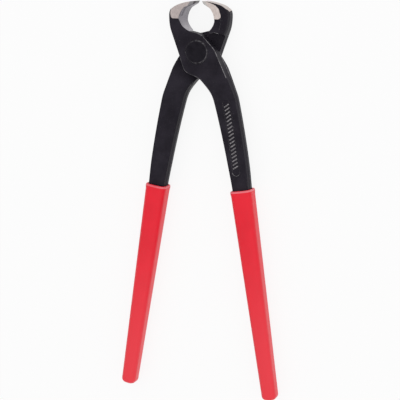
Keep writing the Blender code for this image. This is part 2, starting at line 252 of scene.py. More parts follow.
# Sizes that follow from the ones above
HALF_JOINT = JOINT_THICKNESS / 2
HALF_SHANK = SHANK_THICKNESS / 2
PIVOT_HEIGHT = HALF_JOINT + RIVET_PROUD
JAW_STATIONS = BEND_STATIONS + SIDE_STATIONS
MOUTH_STATIONS = JAW_STATIONS + 2 * CORNER_STATIONS
HANDLE_END = LENGTH - TIP_Y - SLEEVE_SHORTER
TANG_END = HANDLE_END - TANG_SHORT_OF_END

# Slots of the levers' materials
SLOTS = 9
FORGED, GROUND, MILLED, RUBBED, FACET, LAND, EDGED, SPINE, HEEL_EDGE = range(SLOTS)


def mix(start, end, share):
    return start + (end - start) * share


def ease(value, start, end):
    """0 before start, 1 after end, with a smooth slope between them."""
    share = min(max((value - start) / (end - start), 0), 1)
    return share * share * (3 - 2 * share)


def between(start, end, count):
    """Points from start to end, without the end itself."""
    a, b = Vector(start), Vector(end)
    return [a.lerp(b, step / count) for step in range(count)]


def curve_through(points, count):
    """Smooth curve through the points, count steps to each stretch, without its end."""
    knots = [Vector(point) for point in points]
    knots = [2 * knots[0] - knots[1], *knots, 2 * knots[-1] - knots[-2]]
    curve = []
    for before, start, end, after in zip(knots, knots[1:], knots[2:], knots[3:]):
        for step in range(count):
            share = step / count
            curve.append(hermite(start, end, (end - before) / 2, (after - start) / 2, share))
    return curve


def hermite(start, end, leave, arrive, share):
    """Point of the cubic from start to end with these slopes at its ends."""
    square, cube = share**2, share**3
    point = start * (2 * cube - 3 * square + 1) + end * (3 * square - 2 * cube)
    return point + leave * (cube - 2 * square + share) + arrive * (cube - square)


def softened(points, passes):
    """The points with their corners rounded, more with each pass. The ends stay."""
    for _ in range(passes):
        middle = [(a + 2 * b + c) / 4 for a, b, c in zip(points, points[1:], points[2:])]
        points = [points[0], *middle, points[-1]]
    return points


def handle_middle(down):
    """Point of the handle's middle line, at this distance below the pivot."""
    above = max(SLEEVE_TOP - down, 0)
    x = SLEEVE_TOP_X - HANDLE_SLOPE * (SLEEVE_TOP - down) - HANDLE_BEND * above**2
    return Vector((x, -down))


def handle_across(down):
    """Unit vector across the handle, from its inner to its outer side."""
    above = max(SLEEVE_TOP - down, 0)
    slope = HANDLE_SLOPE + 2 * HANDLE_BEND * above
    return Vector((1, slope)).normalized()


def handle_width(down):
    if down < SLEEVE_TOP:
        return mix(ROOT_WIDTH, SHANK_WIDTH, (down - ROOT_Y) / (SLEEVE_TOP - ROOT_Y))
    share = (down - SLEEVE_TOP) / (TANG_END - SLEEVE_TOP)
    return mix(SHANK_WIDTH, TANG_END_WIDTH, share)


def handle_thickness(down):
    share = max(down - SLEEVE_TOP, 0) / (TANG_END - SLEEVE_TOP)
    return mix(SHANK_THICKNESS, TANG_END_THICKNESS, share)


def jaw_inside(side):
    """The mouth's edge at the upper face (side 1) or the lower face (side -1), to the notch.

    From the cutting edge it drops down a blunt land, follows a bevel to the mouth's
    circle, and turns at its foot into the palate. The mouth is ground at a slant, so
    the two faces have circles of their own, but the cutting edge is the same for both.
    """
    radius, height, start, end = UPPER_CIRCLE if side > 0 else LOWER_CIRCLE
    land, bevel = UPPER_TIP if side > 0 else LOWER_TIP
    corners = UPPER_MOUTH_CORNERS if side > 0 else LOWER_MOUTH_CORNERS
    foot = PALATE if side > 0 else LOWER_MOUTH_FOOT
    count = JAW_STATIONS - LAND_STATIONS - 2 * BEVEL_STATIONS
    circle = []
    for step in range(count + 1):
        angle = mix(start, end, step / count)
        circle.append(Vector((radius * math.cos(angle), height + radius * math.sin(angle))))
    points = between((-TIP_GAP / 2, TIP_Y), land, LAND_STATIONS)
    points += curve_through((land, bevel, circle[0]), BEVEL_STATIONS)
    points += circle[:-1] + curve_through((circle[-1], *corners, foot), CORNER_STATIONS * 2 // 3)
    return points + between(foot, NOTCH, FINE)


def arch(start, over, end, count):
    """Curve from start to end that leaves and arrives in line with the point over."""
    points = []
    for step in range(count):
        share = step / count
        points.append(start.lerp(over, share).lerp(over.lerp(end, share), share))
    return points


def jaw_outside():
    """The jaw's back: one curve from the tip over the shoulder, and one down to its root."""
    tip = Vector((-TIP_GAP / 2 - EDGE_LAND, TIP_Y))
    shoulder = Vector((-HEAD_HALF_WIDTH, SHOULDER_Y))
    root = Vector(JAW_ROOT)
    over = 2 * Vector(BACK_CORNER) - (tip + shoulder) / 2
    side = Vector((shoulder.x, (shoulder.y + root.y) / 2))
    points = arch(tip, over, shoulder, BEND_STATIONS)
    return points + arch(shoulder, side, root, SIDE_STATIONS)


def lever_stations():
    """Plan points across the lever, from the jaw's tip to the tang's end.

    Each is one point of the back's edge and the two of the mouth's side that
    face it, at the upper and at the lower face.
    """
    root_middle, root_across = handle_middle(ROOT_Y), handle_across(ROOT_Y)
    root_half = root_across * (ROOT_WIDTH / 2 + SHANK_SWELL)
    root_inner, root_outer = root_middle - root_half, root_middle + root_half
    back = jaw_outside() + between(JAW_ROOT, WAIST, 2 * CORNER_STATIONS)
    back += between(WAIST, HEEL, CORNER_STATIONS) + between(HEEL, CROTCH, CORNER_STATIONS)
    back += curve_through((CROTCH, CROTCH_BEND, root_inner), CORNER_STATIONS)
    side = between(NOTCH, SIDE_CORNER, 2 * FINE)
    side += curve_through((SIDE_CORNER, SIDE_BEND, SIDE_SWELL, root_outer), CORNER_STATIONS)
    upper, lower = jaw_inside(1) + side, jaw_inside(-1) + side
    downs = [mix(ROOT_Y, SLEEVE_TOP, i / SHANK_STATIONS) for i in range(SHANK_STATIONS)]
    downs += [mix(SLEEVE_TOP, TANG_END, i / TANG_STATIONS) for i in range(TANG_STATIONS + 1)]
    inner, outer = [], []
    for down in downs:
        middle = handle_middle(down)
        swell = SHANK_SWELL * (1 - ease(down, *SWELL_ENDS))
        half = handle_across(down) * (handle_width(down) / 2 + swell)
        inner.append(middle - half)
        outer.append(middle + half)
    back = softened(back + inner, BACK_SOFTENING)
    upper, lower = (softened(line + outer, SIDE_SOFTENING) for line in (upper, lower))
    return list(zip(back, upper, lower))


def lever_heights(back, front):
    """Heights of the upper and the lower face over one pair of points."""
    down = -(back.y + front.y) / 2
    if down > ROOT_Y:
        half = handle_thickness(down) / 2
        return half, half
    upper = mix(HALF_JOINT, HALF_SHANK, ease(down, *UPPER_FALL))
    lower = mix(HALF_JOINT, HALF_SHANK, ease(down, *LOWER_FALL))
    return upper, lower


def lever_rounds(back, front):
    """Edge roundings of the back, under and over, and of the mouth and the plate's side.

    Each is its reach across the face, its rise up the side and how flat a slope it is.
    """
    jaw = ease((back.y + front.y) / 2, 0, JAW_ROOT[1])
    crown = ease(back.y, *CROWN_SPAN)
    reach = mix(FORGED_ROUND, mix(SIDE_SLOPE[0], CROWN_SLOPE[0], crown), jaw)
    rise = mix(FORGED_ROUND, mix(SIDE_SLOPE[1], CROWN_SLOPE[1], crown), jaw)
    shoulder = ease(back.y, *BACK_ROUND_SPAN)
    upper = [mix(FORGED_ROUND, size, shoulder) for size in BACK_ROUND_UPPER]
    side = mix(PLATE_ROUND, MOUTH_ROUND, ease(front.y, 0, PALATE[1]))
    side = mix(FORGED_ROUND, side, ease(front.y, *PLATE_SIDE_ROUNDS))
    return (reach, rise, SLOPE_FLATNESS * jaw), (*upper, 0), (side, side, 0)


def corner_points(base, inward, level, sign, rounding, width):
    """Rounding from the face at this level to the side."""
    reach, rise, flatness = rounding
    reach = min(reach, mix(NARROW_REACH, SLOPE_NARROW_REACH, flatness) * width)
    rise = min(rise, NARROW_RISE * width)
    points = []
    for step in range(CORNER_STEPS + 1):
        turn = math.pi / 2 * step / CORNER_STEPS
        in_share = mix(1 - math.sin(turn), 1 - step / CORNER_STEPS, flatness)
        up_share = mix(1 - math.cos(turn), step / CORNER_STEPS, flatness)
        plan = base + inward * reach * in_share
        points.append((plan.x, plan.y, level + sign * rise * up_share))
    return points


def parting_points(lower_base, upper_base, lower, upper, inward, size, forged):
    """The parting line on a side, where the two drafted halves meet, from its lower edge up."""
    points = []
    for height in PARTING_HEIGHTS:
        base = lower_base.lerp(upper_base, (height + lower) / (upper + lower))
        proud = DRAFT * (min(lower, upper) - size - PARTING_FOOT)
        if abs(height) < PARTING_FOOT:
            proud += PARTING_RISE
        plan = base - inward * proud * forged
        points.append((plan.x, plan.y, height))
    return points


def lever_ring(station, index):
    """One rounded section of the lever, upright over the line from its back to its front."""
    back, upper_front, lower_front = station
    front = (upper_front + lower_front) / 2
    upper, lower = lever_heights(back, front)
    back_lower, back_upper, mouth = lever_rounds(back, front)
    along = front - back
    width = along.length
    along.normalize()
    drafted = min(width / FULL_DRAFT_WIDTH, 1) * ease(back.length, *DRAFT_STARTS)
    side = ease(front.length, *DRAFT_STARTS) if index > MOUTH_STATIONS else 0
    under = corner_points(back, along, -lower, 1, back_lower, width)
    over = corner_points(back, along, upper, -1, back_upper, width)
    mouth_over = corner_points(upper_front, -along, upper, -1, mouth, width)
    mouth_under = corner_points(lower_front, -along, -lower, 1, mouth, width)
    back_line = parting_points(back, back, lower, upper, along, back_lower[1], drafted)
    mouth_line = parting_points(lower_front, upper_front, lower, upper, -along, mouth[1], side)
    ring = under + back_line + over[::-1]
    return ring + mouth_over + mouth_line[::-1] + mouth_under[::-1]


def loft(rings, bm, slot_of=None):
    """Skin closed rings one after another, and cap the first and the last."""
    rows = [[bm.verts.new(point) for point in ring] for ring in rings]
    for row, (one, two) in enumerate(zip(rows, rows[1:])):
        for i in range(len(one)):
            j = (i + 1) % len(one)
            face = bm.faces.new((one[i], one[j], two[j], two[i]))
            if slot_of:
                face.material_index = slot_of(row, i)
    return bm.faces.new(rows[0]), bm.faces.new(rows[-1])


def finish_mesh(bm, name, slot=None, slots=1):
    bmesh.ops.recalc_face_normals(bm, faces=bm.faces)
    if slot is not None:
        for face in bm.faces:
            face.material_index = slot
    bmesh.ops.triangulate(bm, faces=[face for face in bm.faces if len(face.verts) == 4])
    mesh = bpy.data.meshes.new(name)
    bm.to_mesh(mesh)
    bm.free()
    for _ in range(slots):
        mesh.materials.append(None)
    mesh.shade_smooth()
    mesh.set_sharp_from_angle(angle=SHARP_ANGLE)
    return mesh


def lofted(rings, name, slot=None, slots=1, slot_of=None):
    """Mesh of one row of rings."""
    bm = bmesh.new()
    loft(rings, bm, slot_of)
    return finish_mesh(bm, name, slot, slots)


def lever_mesh():
    """The forging before its cuts, with slots for its milled mouth and its rubbed edges, which also
    carry painted highlights.

    A row is the stretch between two stations, and a strip runs along the lever between
    two neighbouring points of its rings. Each ring holds a rounding, a parting line of
    four points and a rounding on the back, and the same again on the mouth's side.
    """
    rings = [lever_ring(station, i) for i, station in enumerate(lever_stations())]
    rounding = CORNER_STEPS + 1
    parting = len(PARTING_HEIGHTS)
    back_over = rounding + parting
    mouth_over = back_over + rounding
    mouth_strips = range(mouth_over, len(rings[0]) - 1)
    plate_strips = {*range(mouth_over + 1, mouth_over + 1 + parting), mouth_over + rounding + 1}
    heel_strips = range(back_over + 2, mouth_over - 2)
    spine_strips = range(back_over, mouth_over - 1)
    waist_row = JAW_STATIONS + 2 * CORNER_STATIONS
    heel_rows = range(waist_row, waist_row + 3 * CORNER_STATIONS)
    spine_rows = range(BEND_STATIONS, JAW_STATIONS + CORNER_STATIONS)
    plate_rows = range(MOUTH_STATIONS, MOUTH_STATIONS + 3 * FINE + 2 * CORNER_STATIONS)

    def slot_of(row, strip):
        if row < MOUTH_STATIONS and strip in mouth_strips:
            return LAND if row < LAND_STATIONS else MILLED
        # The plate's rubbed edges, which also carry painted highlights
        if row in plate_rows and strip in plate_strips:
            return EDGED
        # The heel's worn edge, which also carries a painted highlight
        if row in heel_rows and strip in heel_strips:
            return HEEL_EDGE
        # The jaw's spine, which on the rear lever carries a painted highlight
        if row in spine_rows and strip in spine_strips:
            return SPINE
        return FORGED

    bm = bmesh.new()
    tip, _ = loft(rings, bm, slot_of)
    tip.material_index = GROUND
    return finish_mesh(bm, "lever", slots=SLOTS)


def edges_through(points):
    """Straight edges from each point to the next."""
    points = [Vector(point) for point in points]
    return list(zip(points, points[1:]))


def crossing_radius(edges, angle):
    """How far a ray from the pivot runs inside the outline made of these edges."""
    ray = Vector((math.cos(angle), math.sin(angle)))
    for start, end in edges:
        side = end - start
        cross = ray.x * side.y - ray.y * side.x
        if abs(cross) < PARALLEL:
            continue
        reach = (start.x * side.y - start.y * side.x) / cross
        share = (start.x * ray.y - start.y * ray.x) / cross
        if 0 <= share <= 1 and 0 < reach < ROOT_Y:
            return reach
    return ROOT_Y


def lap_reaches(rise):
    """Distance from the pivot to the lap recess's edge, at every degree round it.

    It lets the other lever turn through its whole range, and runs out to the ledge
    that ends the full-depth jaw. The ledge is a fillet: rise is 0 at its foot on the
    lap plane and 1 at the face, where it is straight.
    """
    foot, by_mouth = edges_through(LEDGE_FOOT), edges_through(LEDGE_BY_MOUTH)
    stations = lever_stations()
    around = [back for back, _, _ in stations] + [front for _, front, _ in reversed(stations)]
    edges = edges_through([(-point.x, point.y) for point in around + around[:1]])
    radii = [crossing_radius(edges, math.radians(degrees)) for degrees in range(360)]
    turns = range(-round(math.degrees(CLOSES_BY)), round(math.degrees(OPENS_BY)) + 1)
    reaches = []
    for degrees in range(360):
        reach = max(radii[(degrees + turn) % 360] for turn in turns) + LAP_CLEARANCE
        from_ledge = math.cos(math.radians(degrees) - math.pi / 2 - LEDGE_TILT)
        if from_ledge > math.cos(LEDGE_SPAN):
            angle = math.radians(degrees)
            at_face = min(LEDGE_DISTANCE / from_ledge, crossing_radius(by_mouth, angle))
            at_foot = crossing_radius(foot, angle)
            fillet = math.sqrt(1 - (1 - rise) ** 2)
            reach = max(reach, mix(min(at_foot, at_face), at_face, fillet))
        reaches.append(min(reach, ROOT_Y))
    return reaches


def lap_mesh():
    """The recess's cutter.

    It flares under the lower face to chamfer the ledge's edge, and on the handle's
    side its wall is a ramp, so that no deep slot shows beside the other lever.
    """
    levels = [(-2 * HALF_JOINT, LAP_CHAMFER + HALF_JOINT, 1)]
    for step in range(LEDGE_LEVELS + 1):
        rise = (1 - step / LEDGE_LEVELS) ** 2
        levels.append((mix(LAP_GAP / 2, LAP_CHAMFER - HALF_JOINT, rise), 0, rise))
    rings = []
    for height, flare, rise in levels:
        ring = []
        for degrees, reach in enumerate(lap_reaches(rise)):
            angle = math.radians(degrees)
            off = abs((angle - RAMP_MIDDLE + math.pi) % (2 * math.pi) - math.pi)
            ramp_share = 1 - ease(off, *RAMP_SPAN)
            far = reach + flare + ramp_share * LAP_RAMP * (LAP_GAP / 2 - height)
            ring.append((far * math.cos(angle), far * math.sin(angle), height))
        rings.append(ring)

    def slot_of(row, degrees):
        # The ledge's rubbed edge, which also carries a painted highlight
        deepest = LEDGE_MARK_DEEPER_ROWS if degrees > LEDGE_MARK_DEEPER_FROM else 0
        return EDGED if row <= deepest and degrees in LEDGE_WEAR_AND_HIGHLIGHT else FORGED

    return lofted(rings, "lap_recess", slots=SLOTS, slot_of=slot_of)


def turned_mesh(profile, name, slot=None, slots=1, slot_of=None):
    """Solid of revolution about Z through (radius, height) points, capped at both ends."""
    rings = []
    for radius, height in profile:
        ring = []
        for side in range(RIVET_SIDES):
            angle = 2 * math.pi * side / RIVET_SIDES
            ring.append((radius * math.cos(angle), radius * math.sin(angle), height))
        rings.append(ring)
    return lofted(rings, name, slot, slots, slot_of)


def bore_mesh():
    """Rivet hole with the recess for its head and a small chamfer round its mouth."""
    floor = HALF_JOINT - RIVET_HEAD_HEIGHT + RIVET_PROUD - CLEARANCE
    hole, recess = RIVET_RADIUS + CLEARANCE, RIVET_HEAD_RADIUS + RIVET_HEAD_GAP
    profile = (
        (hole, -2 * HALF_JOINT),
        (hole, floor),
        (recess, floor),
        (recess, HALF_JOINT - BORE_CHAMFER),
        (recess + BORE_CHAMFER + HALF_JOINT, 2 * HALF_JOINT),
    )
    return turned_mesh(profile, "rivet_bore", FORGED, SLOTS)


def flank_mesh(side):
    """Wedge that grinds one flank of the jaw down towards the tip."""
    far = TIP_Y + FLANK_PAST_TIP
    slope = FLANK_GRIND_DEPTH / (TIP_Y - FLANK_GRIND_START)
    start, run, rise = UPPER_FLANK_CURVE if side > 0 else LOWER_FLANK_CURVE
    outer = HEAD_HALF_WIDTH + FLANK_PAST_JAW
    reaches = [mix(outer, start, i / FLANK_CURVE_STEPS) for i in range(FLANK_CURVE_STEPS + 1)]
    rings = []
    for reach in (*reaches, -outer):
        share = min(max(reach - start, 0) / run, FLANK_CURVE_END)
        foot = FLANK_GRIND_START + rise * share**2
        low = HALF_JOINT - slope * (far - foot)
        profile = (foot, HALF_JOINT), (far, low), (far, 2 * HALF_JOINT), (foot, 2 * HALF_JOINT)
        rings.append([(-reach, y, side * z) for y, z in profile])
    return lofted(rings, "flank_grind", GROUND, SLOTS)


def tip_facet_mesh(side):
    """Wedge that grinds a second facet on one flank, falling towards the cutting edge."""
    far, low = TIP_GAP, FLANK_GRIND_START
    drop = TIP_FACET_SLOPE * (TIP_FACET_START + far)
    profile = (
        (-TIP_FACET_START, TIP_FACET_HEIGHT),
        (far, TIP_FACET_HEIGHT - drop),
        (far, 2 * HALF_JOINT),
        (-TIP_FACET_START, 2 * HALF_JOINT),
    )
    rings = [[(x, y, side * z) for x, z in profile] for y in (low, TIP_Y + low)]
    return lofted(rings, "tip_facet", FACET, SLOTS)


def band_mesh():
    """Cutter along the jaw's back. The band it grinds runs out towards the upper face."""
    back = jaw_outside()[: round(BEND_STATIONS * BAND_STATIONS_SHARE)]
    back = [back[0] + (back[0] - back[1]) * BAND_OVERRUN, *back]
    rings = []
    for i, point in enumerate(back):
        share = i / (len(back) - 1)
        tangent = (back[min(i + 1, len(back) - 1)] - back[max(i - 1, 0)]).normalized()
        outward = Vector((tangent.y, -tangent.x))
        runs_out = ease(share, *BAND_FADES)
        zero = mix(*BAND_ZEROS, runs_out) * HALF_JOINT
        crown = BAND_CROWN * (1 - runs_out)
        run_in = min(i / BAND_RUN_IN, 1)
        inner = []
        for step in range(BAND_LEVELS + 1):
            height = mix(*BAND_HEIGHTS, step / BAND_LEVELS) * HALF_JOINT
            depth = BAND_SLANT * (height - zero) + crown * (height / HALF_JOINT) ** 2
            plan = point - outward * depth * run_in
            inner.append((plan.x, plan.y, height))
        far = point + outward * BAND_REACH
        rings.append([*inner, (far.x, far.y, inner[-1][2]), (far.x, far.y, inner[0][2])])
    return lofted(rings, "band_grind", GROUND, SLOTS)


def panel_middle(down):
    """Point of the panel's middle line, which crosses the shank's at a slight slant."""
    share = (down - PANEL_TOP) / (PANEL_BOTTOM - PANEL_TOP)
    return handle_middle(down) + handle_across(down) * mix(*PANEL_SHIFTS, share)


def panel_mesh():
    """Long recess with round ends along the shank. Its bottom end's edge is rubbed and carries a
    painted highlight.
    """
    radius = PANEL_WIDTH / 2
    ends = PANEL_TOP + radius, PANEL_BOTTOM - radius
    downs = [mix(*ends, i / PANEL_RUNS) for i in range(PANEL_RUNS + 1)]
    rings = []
    for level, wider in (
        (HALF_SHANK - PANEL_DEPTH, 0),
        (HALF_JOINT, HALF_JOINT - HALF_SHANK + PANEL_DEPTH),
    ):
        grown = radius + wider * PANEL_FLARE
        inner = [panel_middle(down) - handle_across(down) * grown for down in downs]
        outer = [panel_middle(down) + handle_across(down) * grown for down in downs]
        outline = inner + panel_end(ends[1], -1, grown) + outer[::-1] + panel_end(ends[0], 1, grown)
        rings.append([(x, y, level) for x, y in outline])

    bottom_end = range(PANEL_RUNS, PANEL_RUNS + PANEL_ARC_STEPS)

    def slot_of(_, i):
        # The bottom end's rubbed edge, which also carries a painted highlight
        return EDGED if i in bottom_end else FORGED

    return lofted(rings, "panel_recess", slots=SLOTS, slot_of=slot_of)


def panel_end(down, way, radius):
    """Half circle that closes the panel: way -1 at its bottom, 1 at its top."""
    middle, across = panel_middle(down), handle_across(down)
    along = Vector((-across.y, across.x)) * way
    start = across * way
    points = []
    for step in range(1, PANEL_ARC_STEPS):
        turn = math.pi * step / PANEL_ARC_STEPS
        points.append(middle + (start * math.cos(turn) + along * math.sin(turn)) * radius)
    return points


def ribs_mesh():
    """Row of plain slanted ribs that stand on the panel's floor, up to just under the face."""
    bm = bmesh.new()
    first, last = PANEL_TOP + RIB_MARGIN, PANEL_BOTTOM - RIB_MARGIN
    count = int((last - first) / RIB_PITCH)
    floor = HALF_SHANK - 2 * PANEL_DEPTH
    for i in range(count + 1):
        down = first + i * RIB_PITCH
        across = handle_across(down)
        middle = panel_middle(down)
        slanted = Matrix.Rotation(RIB_SLANT, 2) @ across
        along = Vector((-slanted.y, slanted.x))
        rings = []
        for level, taper in ((floor, (0, 0)), (HALF_SHANK - RIB_DROP, RIB_TAPER)):
            half_length, half_width = RIB_LENGTH / 2 - taper[0], RIB_WIDTH / 2 - taper[1]
            ring = []
            for a, b in ((-1, -1), (1, -1), (1, 1), (-1, 1)):
                plan = middle + slanted * a * half_length + along * b * half_width
                ring.append((plan.x, plan.y, level))
            rings.append(ring)
        loft(rings, bm)
    return finish_mesh(bm, "panel_ribs", RUBBED, SLOTS)


def sleeve_ring(down, out, outside=1, reach=0):
    """Rounded section around the handle, larger than it by out all round.

    Its corners run from the tang's own (outside 0) to the sleeve's (outside 1),
    and reach moves it along the handle towards the end.
    """
    own = min(down, TANG_END)
    half_width = handle_width(own) / 2 + out
    half_thickness = handle_thickness(own) / 2 + out
    size = mix(FORGED_ROUND + out, SLEEVE_CORNER * 2 * half_thickness, outside)
    middle, across = handle_middle(down), handle_across(down)
    middle = middle + Vector((across.y, -across.x)) * reach

    def corner_point(quarter, share):
        corner, turn = math.pi / 2 * (quarter + 0.5), math.pi / 2 * (quarter + share)
        side = math.copysign(half_width - size, math.cos(corner)) + size * math.cos(turn)
        rise = math.copysign(half_thickness - size, math.sin(corner)) + size * math.sin(turn)
        return Vector((side, rise))

    section = []
    for quarter in range(4):
        shares = [step / SLEEVE_CORNER_STEPS for step in range(SLEEVE_CORNER_STEPS + 1)]
        section += [corner_point(quarter, share) for share in shares]
        section += between(section[-1], corner_point(quarter + 1, 0), SLEEVE_FACE_STEPS)[1:]
    ring = []
    for side, rise in section:
        crown = SLEEVE_CROWN * outside * (1 - (side / half_width) ** 2)
        plan = middle + across * side
        ring.append((plan.x, plan.y, rise * (1 + crown / half_thickness)))
    return ring


def sleeve_mesh():
    """Sleeve with a thick rounded lip, a closed rounded end and the tang's pocket in it."""
    wall = CLEARANCE + SLEEVE_WALL
    pocket_end = TANG_END + CLEARANCE
    lip_end = SLEEVE_TOP + LIP_HEIGHT
    body_end = HANDLE_END - SLEEVE_END_ROUND
    shares = [step / SLEEVE_STATIONS for step in range(SLEEVE_STATIONS + 1)]
    pocket = [mix(pocket_end, SLEEVE_TOP, share) for share in shares[::POCKET_STRIDE]]
    rings = [sleeve_ring(down, CLEARANCE, 0) for down in pocket]
    for step in range(1, LIP_STEPS + 1):
        turn = math.pi * step / LIP_STEPS
        share = (1 - math.cos(turn)) / 2
        out = mix(CLEARANCE, wall + LIP_BULGE, share)
        rings.append(sleeve_ring(SLEEVE_TOP, out, share, -LIP_RISE * math.sin(turn)))
    for step in range(1, LIP_STEPS + 1):
        share = step / LIP_STEPS
        out = wall + LIP_BULGE * (1 - ease(share, 0, 1))
        rings.append(sleeve_ring(mix(SLEEVE_TOP, lip_end, share), out))
    rings += [sleeve_ring(mix(lip_end, body_end, share), wall) for share in shares[1:]]
    for step in range(1, END_STEPS + 1):
        turn = math.pi / 2 * step / END_STEPS
        out = wall - SLEEVE_END_ROUND * (1 - math.cos(turn))
        rings.append(sleeve_ring(body_end, out, 1, SLEEVE_END_ROUND * math.sin(turn)))
    crest = len(pocket) + LIP_STEPS // 2
    # Rows past the lip's crest carry the painted highlight
    highlight_lip_rows = range(crest + 1, crest + LIP_STEPS // 2)

    def slot_of(row, _):
        return 1 if row in highlight_lip_rows else 0

    return lofted(rings, "sleeve", slots=2, slot_of=slot_of)


def rivet_mesh():
    """Headed rivet: a round rim with a painted highlight, a flat land and a shallow dish in each
    head.
    """
    half = HALF_JOINT + RIVET_PROUD
    under = half - RIVET_HEAD_HEIGHT
    head = [(RIVET_RADIUS, under), (RIVET_HEAD_RADIUS, under)]
    for step in range(RIM_STEPS + 1):
        turn = math.pi / 2 * step / RIM_STEPS
        radius = RIVET_HEAD_RADIUS - RIM_ROUND * (1 - math.cos(turn))
        head.append((radius, half - RIM_ROUND * (1 - math.sin(turn))))
    head += [(radius, half - depth) for radius, depth in RIVET_DISH]
    profile = [(radius, -height) for radius, height in reversed(head)] + head
    first = len(head) + 2
    # The rim's rows take the painted highlight
    rim_rows = range(first, first + RIM_STEPS)
    last_row = len(profile) - 2

    def slot_of(row, _):
        return 1 if row in rim_rows or last_row - row in rim_rows else 0

    return turned_mesh(profile, "rivet", slots=2, slot_of=slot_of)


def in_scene(name, data):
    """New object of this mesh, lamp or camera."""
    made = bpy.data.objects.new(name, data)
    bpy.context.scene.collection.objects.link(made)
    return made


def cut_lever(base, steps):
    """Mesh of the forging after its cuts, with even shading on its flat faces."""
    lever = in_scene("uncut", base)
    helpers = [lever]
    for mesh, operation in steps:
        cutter = in_scene(mesh.name, mesh)
        helpers.append(cutter)
        cut = lever.modifiers.new(mesh.name, "BOOLEAN")
        cut.operation = operation
        cut.solver = "EXACT"
        cut.object = cutter
    shading = lever.modifiers.new("even_shading", "WEIGHTED_NORMAL")
    shading.keep_sharp = True
    shading.weight = FLAT_FACE_WEIGHT
    graph = bpy.context.evaluated_depsgraph_get()
    made = bpy.data.meshes.new_from_object(lever.evaluated_get(graph), depsgraph=graph)
    for helper in helpers:
        bpy.data.objects.remove(helper, do_unlink=True)
    return made


# Finishes: colours, sizes in metres and patterns to the metre. A bump is a depth and a
# strength. Another pair is a noise's stretch that is spread from 0 to 1, or the lowest
# and the highest of what it drives.

NOISE_SPREAD = (0.3, 0.7)

# Edge wear: how far the rounded normal turns at an edge, how open the air round the
# edge is, and round a corner for its painted shade, and how patchy the wear is
EDGE_SAMPLES = 6
EDGE_TURN = (0.998, 0.86)
EDGE_OPENNESS = (0.72, 0.92)
CORNER_SHADE_OPENNESS = (0.85, 0.35)
WEAR_SPREAD = (0.36, 0.62)

# Forged and blackened skin. Its pits and specks follow its grain.
PITS_TO_GRAIN = 0.35
PIT_SPREAD = (0, 0.35)
PIT_HEIGHT = 0.6
SPECKS_TO_GRAIN = 1.3
SPECK_SPREAD = (0.66, 0.74)
SKIN_BUMP = (0.05 * MM, 0.5)
BLACK_SPECULAR = 0.05
FORGED_FINISH = {
    "colours": ((0.0163, 0.0140, 0.0198, 1), (0.0285, 0.0248, 0.0340, 1)),
    "pattern": {"Grain": 1500, "Clouds": 75},
    "roughness": (0.36, 0.48),
}
RIVET_FINISH = {
    "colours": ((0.0098, 0.0085, 0.0125, 1), (0.0175, 0.0155, 0.0210, 1)),
    "pattern": {"Grain": 1800, "Clouds": 220},
    "roughness": (0.32, 0.44),
}
# Painted shade in the black skin's corners: its colour and its share
PAINTED_CORNER_SHADE_BLACK = (0.004, 0.0035, 0.005, 1)
PAINTED_CORNER_SHADE_SHARE = 0.2
RIB_WEAR = (0.2, 0.7)
SPECK_WEAR = 0.12
BARE_METAL = (0.42, 0.40, 0.41, 1)
BARE_METALLIC = 0.85

# Rubbed edges, which also carry painted highlights: how bare they are, and for the rim where its
# painted highlight grows, along X
EDGE_WEAR_AND_HIGHLIGHT_SPREAD = (0.2, 0.8)
RUBBED_AND_HIGHLIGHT_METAL = (0.30, 0.29, 0.30, 1)
RUBBED_AND_HIGHLIGHT_METALLIC = 0.6
RIM_HIGHLIGHT_LEFT_SHARE = 0.15
EDGE_WEAR_AND_HIGHLIGHTS = {
    "rubbed_edges_and_highlights": (0.25, 0.8),
    "heel_edge_wear_and_highlight": (0.14, 0.45),
    # The rear jaw's spine: a painted highlight
    "spine_painted_highlight": (0.2, 0.45),
    # The rivet's rim: a painted highlight that grows towards the right
    "rim_painted_highlight": (0.04, 0.28, mm(-6, 1)),
}

# Bare steels: dark and light colour, grinding lines along each axis, roughness, and for
# the mouth the heights between which its foot gets brighter
LINES_ALONG_X = {"Along_X": 260, "Along_Y": 3000, "Along_Z": 3000}
LINES_ALONG_Y = {"Along_X": 3000, "Along_Y": 260, "Along_Z": 3000}
LINES_ALONG_Z = {"Along_X": 3000, "Along_Y": 3000, "Along_Z": 260}
LONGER_ALONG_Z = {"Along_X": 3000, "Along_Y": 3000, "Along_Z": 220}
FLANK_ROUGHNESS = 0.36
EDGE_ROUGHNESS = 0.4
STEELS = {
    # One ground flank on both levers: the front copy darker as painted shade, the rear one lighter
    # as painted light
    "ground_flank_front": (
        (0.375, 0.320, 0.310, 1), (0.535, 0.470, 0.453, 1), LINES_ALONG_Y, FLANK_ROUGHNESS,
    ),
    "ground_flank_rear": (
        (0.490, 0.425, 0.400, 1), (0.690, 0.608, 0.575, 1), LINES_ALONG_Y, FLANK_ROUGHNESS,
    ),
    "milled_mouth": (
        (0.22, 0.205, 0.23, 1), (0.33, 0.31, 0.34, 1), LONGER_ALONG_Z, EDGE_ROUGHNESS,
        mm(21, 15.5),
    ),
    # One ground facet on both levers: the front copy darker as painted shade, the rear one lighter
    # as painted light
    "ground_facet_front": (
        (0.20, 0.19, 0.195, 1), (0.30, 0.29, 0.295, 1), LINES_ALONG_X, FLANK_ROUGHNESS,
    ),
    "ground_facet_rear": (
        (0.40, 0.38, 0.37, 1), (0.56, 0.54, 0.52, 1), LINES_ALONG_X, FLANK_ROUGHNESS,
    ),
    "cutting_land": (
        (0.10, 0.088, 0.092, 1), (0.18, 0.165, 0.172, 1), LINES_ALONG_Z, EDGE_ROUGHNESS,
    ),
}
GRINDING_PATCHES = 160
GRINDING_BUMP = (0.02 * MM, 0.35)
LINE_ROUGHNESS = 0.05
PATCH_ROUGHNESS = 0.08
